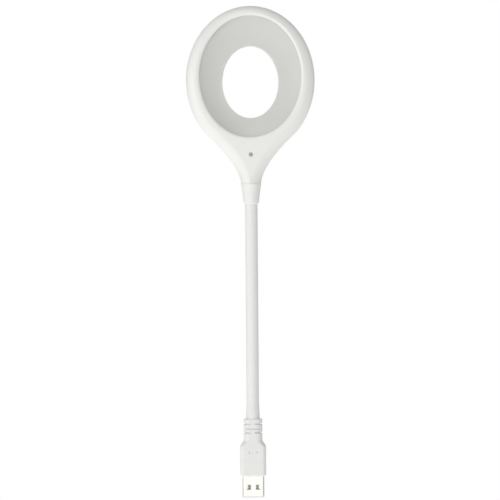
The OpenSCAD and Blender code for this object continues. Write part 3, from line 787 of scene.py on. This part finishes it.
class LAMP_OT_plug_shell(bpy.types.Operator):
    """Makes the folded metal plug shell with its latch holes"""
    bl_idname = "lamp.plug_shell"
    bl_label = "Plug shell"

    def execute(self, context):
        plug = sizes("lamp_plug")
        low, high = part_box("plug_shell")
        wall, bend, slit = plug.shell_wall, 0.5 * MM, 0.05 * MM
        half_width, half_depth = high.x - wall / 2, high.y - wall / 2
        along_front = self.spread(half_width - bend, plug.hole)
        path = [np.stack([np.linspace(slit, half_width - bend, 14), np.full(14, half_depth)], -1),
                arc((half_width - bend, half_depth - bend), bend, 90, 0, 8),
                arc((half_width - bend, bend - half_depth), bend, 0, -90, 8),
                np.stack([along_front[::-1], np.full(len(along_front), -half_depth)], -1)[1:-1]]
        right = np.concatenate(path[:3])
        loop = np.concatenate([right, path[3], right[::-1] * [-1, 1]])
        hole_low, hole_high = -7.5 * MM, -4.7 * MM
        z = np.concatenate([low.z + np.array([0.16, 0.3, 0.5]) * MM, np.linspace(low.z + MM, hole_low, 7),
                            np.linspace(hole_low, hole_high, 5)[1:], np.linspace(hole_high, high.z, 9)[1:]])
        inward = np.zeros_like(z)
        inward[:2] = (0.22 * MM, 0.1 * MM)
        scale_x, scale_y = 1 - inward / half_width, 1 - inward / half_depth
        points = np.stack([loop[None, :, 0] * scale_x[:, None], loop[None, :, 1] * scale_y[:, None],
                           np.repeat(z[:, None], len(loop), 1)], -1)
        count = len(loop)
        j, i = np.meshgrid(np.arange(len(z) - 1), np.arange(count - 1), indexing="ij")
        middle_x = (loop[i, 0] + loop[i + 1, 0]) / 2
        middle_y = (loop[i, 1] + loop[i + 1, 1]) / 2
        middle_z = (z[j] + z[j + 1]) / 2
        in_hole = (np.abs(np.abs(middle_x) - 2.5 * MM) < plug.hole / 2) & (middle_y < -half_depth * 0.9)
        in_hole &= (middle_z > hole_low) & (middle_z < hole_high)
        first = j * count + i
        quads = np.stack([first, first + 1, first + count + 1, first + count], -1)
        mesh = bpy.data.meshes.new("plug_metal_shell")
        mesh.from_pydata(points.reshape(-1, 3).tolist(), [], quads[~in_hole].tolist())
        mesh.shade_smooth()
        made = piece("plug_metal_shell", mesh, FINISH["nickel"], ["plug_shell"])
        thick = made.modifiers.new("sheet", "SOLIDIFY")
        thick.thickness = wall
        thick.offset = 0
        thick.use_even_offset = True
        bpy.context.view_layer.update()
        solid = bpy.data.meshes.new_from_object(made.evaluated_get(bpy.context.evaluated_depsgraph_get()))
        made.modifiers.clear()
        made.data = solid
        solid.set_sharp_from_angle(angle=math.radians(40))
        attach(made, "plug")
        return {"FINISHED"}

    def spread(self, half, hole):
        """Places across the front, with one at each hole's edges, 1.25 and 3.75 mm from the middle."""
        inner, outer = 2.5 * MM - hole / 2, 2.5 * MM + hole / 2
        right = np.concatenate([np.linspace(0, inner, 4), np.linspace(inner, outer, 6)[1:],
                                np.linspace(outer, half, 5)[1:]])
        return np.concatenate([-right[:0:-1], right])


# ------------------------------------------------------------------ carried-over nodes


# Finish of each node whose name starts so; the longer names come first
INNER_FINISHES = {
    "hose_clamp": "steel",
    "hose_": "hose",
    "lead_": "insulation",
    "board_wires": "insulation",
    "plug_premould": "premould",
    "plug_tongue": "nylon",
    "plug_contacts": "gold",
    "lower_ferrule": "steel",
    "upper_ferrule": "steel",
    "clamp_screws": "steel",
    "led_board": "mask_white",
    "leds": "phosphor",
    "control_board": "mask_green",
    "board_parts": "epoxy",
    "touch_spring": "copper",
    "sleeve_": "silicone",
    "neck_collar": "rubber",
    "front_casing": "abs",
    "rear_casing": "abs",
    "diffuser": "milky",
    "touch_contact": "contact",
    "plug_overmould": "elastomer",
    "plug_shell": "nickel",
}


class LAMP_OT_inner_finishes(bpy.types.Operator):
    """Gives the nodes that keep their own shape their finishes"""
    bl_idname = "lamp.inner_finishes"
    bl_label = "Inner finishes"

    def execute(self, context):
        for name, node in frame["nodes"].items():
            chosen = next(finish for start, finish in INNER_FINISHES.items() if name.startswith(start))
            node.data.materials.clear()
            node.data.materials.append(FINISH[chosen])
        return {"FINISHED"}


# ------------------------------------------------------------------ stage


# Name, place from the lamp's middle in metres, size in metres, and power in watts
LIGHTS = [
    ("left", (-1.3, -0.9, 0.1), 0.8, 5.2),
    ("front", (-0.1, -1.8, -0.2), 0.8, 2.9),
    ("high", (-0.2, -1.0, 1.3), 0.8, 6.2),
    ("back", (0.4, 1.8, 0.4), 1.0, 2.2),
]
WORLD_STRENGTH = 0.34
FLOOR_GLOW = 0.6
# How far the camera looks to the side, and above the level that puts the lamp's top at the edge
CAMERA_X = -0.9 * MM
CAMERA_RISE = 3.4 * MM


class LAMP_OT_stage(bpy.types.Operator):
    """Makes the floor, the lights, the world and the camera"""
    bl_idname = "lamp.stage"
    bl_label = "Stage"

    def execute(self, context):
        self.floor()
        self.world(context.scene)
        for name, place, size, watts in LIGHTS:
            self.light(name, place, size, watts)
        self.camera(context.scene)
        context.scene.view_settings.view_transform = "Standard"
        return {"FINISHED"}

    def floor(self):
        """A wide pale disc that glows a little, as a lit table does."""
        stage = sizes("lamp_stage")
        z = CAD_BOX[0][2] - stage.floor_drop
        turn = np.linspace(0, 2 * np.pi, 96, endpoint=False)
        x, y = stage.floor_radius * np.cos(turn), stage.floor_radius * np.sin(turn)
        points = np.stack([x, y, np.full_like(turn, z)], -1)
        mesh = bpy.data.meshes.new("floor")
        mesh.from_pydata(points.tolist(), [], [list(range(96))])
        material, tree, shader, place = new_finish("pale_floor")
        mottle(tree, place, shader, linear("#F4F4F3"), 0.01, 0.3)
        shader.inputs["Roughness"].default_value = 0.8
        shader.inputs["Emission Color"].default_value = (1, 1, 1, 1)
        shader.inputs["Emission Strength"].default_value = FLOOR_GLOW
        mesh.materials.append(material)
        floor = bpy.data.objects.new("floor", mesh)
        bpy.context.scene.collection.objects.link(floor)

    def world(self, scene):
        """White where the camera sees it, and a softer grey for the light that it gives."""
        world = bpy.data.worlds.new("white_room")
        world.use_nodes = True
        tree = world.node_tree
        background = tree.nodes["Background"]
        seen = add(tree, "LightPath").outputs["Is Camera Ray"]
        strength = add(tree, "MapRange", [("To Min", WORLD_STRENGTH), ("To Max", 1.0)], [("Value", seen)])
        tree.links.new(strength.outputs["Result"], background.inputs["Strength"])
        background.inputs["Color"].default_value = (1, 1, 1, 1)
        scene.world = world

    def light(self, name, place, size, watts):
        """A square soft light that looks at the lamp's middle."""
        data = bpy.data.lights.new(name, "AREA")
        data.size = size
        data.energy = watts
        made = bpy.data.objects.new(name, data)
        middle = Vector((0, 0, (CAD_BOX[0][2] + CAD_BOX[1][2]) / 2))
        made.location = middle + Vector(place)
        made.rotation_mode = "QUATERNION"
        made.rotation_quaternion = (-Vector(place)).to_track_quat("-Z", "Y")
        bpy.context.scene.collection.objects.link(made)

    def camera(self, scene):
        """A long lens square to the lamp's lit side, turned by a small roll."""
        stage = sizes("lamp_stage")
        data = bpy.data.cameras.new("camera")
        data.sensor_width = 36
        data.lens = 36 * stage.camera_distance / stage.frame_height
        data.clip_start, data.clip_end = 0.05, 50
        made = bpy.data.objects.new("camera", data)
        middle_z = CAD_BOX[1][2] - stage.frame_height / 2 + CAMERA_RISE
        made.matrix_world = (Matrix.Translation((CAMERA_X, -stage.camera_distance, middle_z))
                             @ Matrix.Rotation(math.radians(90), 4, "X")
                             @ Matrix.Rotation(-stage.camera_roll, 4, "Z"))
        scene.collection.objects.link(made)
        scene.camera = made


class LAMP_PT_panel(bpy.types.Panel):
    """Lists the lamp's operators and sizes"""
    bl_label = "Ring reading lamp"
    bl_idname = "LAMP_PT_panel"
    bl_space_type = "VIEW_3D"
    bl_region_type = "UI"
    bl_category = "Lamp"

    def draw(self, context):
        for operator in OPERATORS:
            self.layout.operator(operator.bl_idname)
        for name, group in GROUPS.items():
            box = self.layout.box()
            for key in group.__annotations__:
                box.prop(sizes(name), key)


GROUPS = {"lamp_head": HeadSizes, "lamp_neck": NeckSizes, "lamp_plug": PlugSizes,
          "lamp_finishes": Finishes, "lamp_stage": StageSizes}
OPERATORS = [LAMP_OT_casing, LAMP_OT_diffuser, LAMP_OT_touch_contact, LAMP_OT_collar, LAMP_OT_sleeve,
             LAMP_OT_overmould, LAMP_OT_plug_shell, LAMP_OT_inner_finishes, LAMP_OT_stage]
CLASSES = [*GROUPS.values(), *OPERATORS, LAMP_PT_panel]


def register():
    for each in CLASSES:
        bpy.utils.register_class(each)
    for name, group in GROUPS.items():
        setattr(bpy.types.Scene, name, bpy.props.PointerProperty(type=group))


def unregister():
    for name in GROUPS:
        delattr(bpy.types.Scene, name)
    for each in reversed(CLASSES):
        bpy.utils.unregister_class(each)


def main():
    register()
    FINISH.update(make_finishes())
    for operator in OPERATORS:
        group, name = operator.bl_idname.split(".")
        getattr(getattr(bpy.ops, group), name)()


if __name__ == "__main__":
    main()
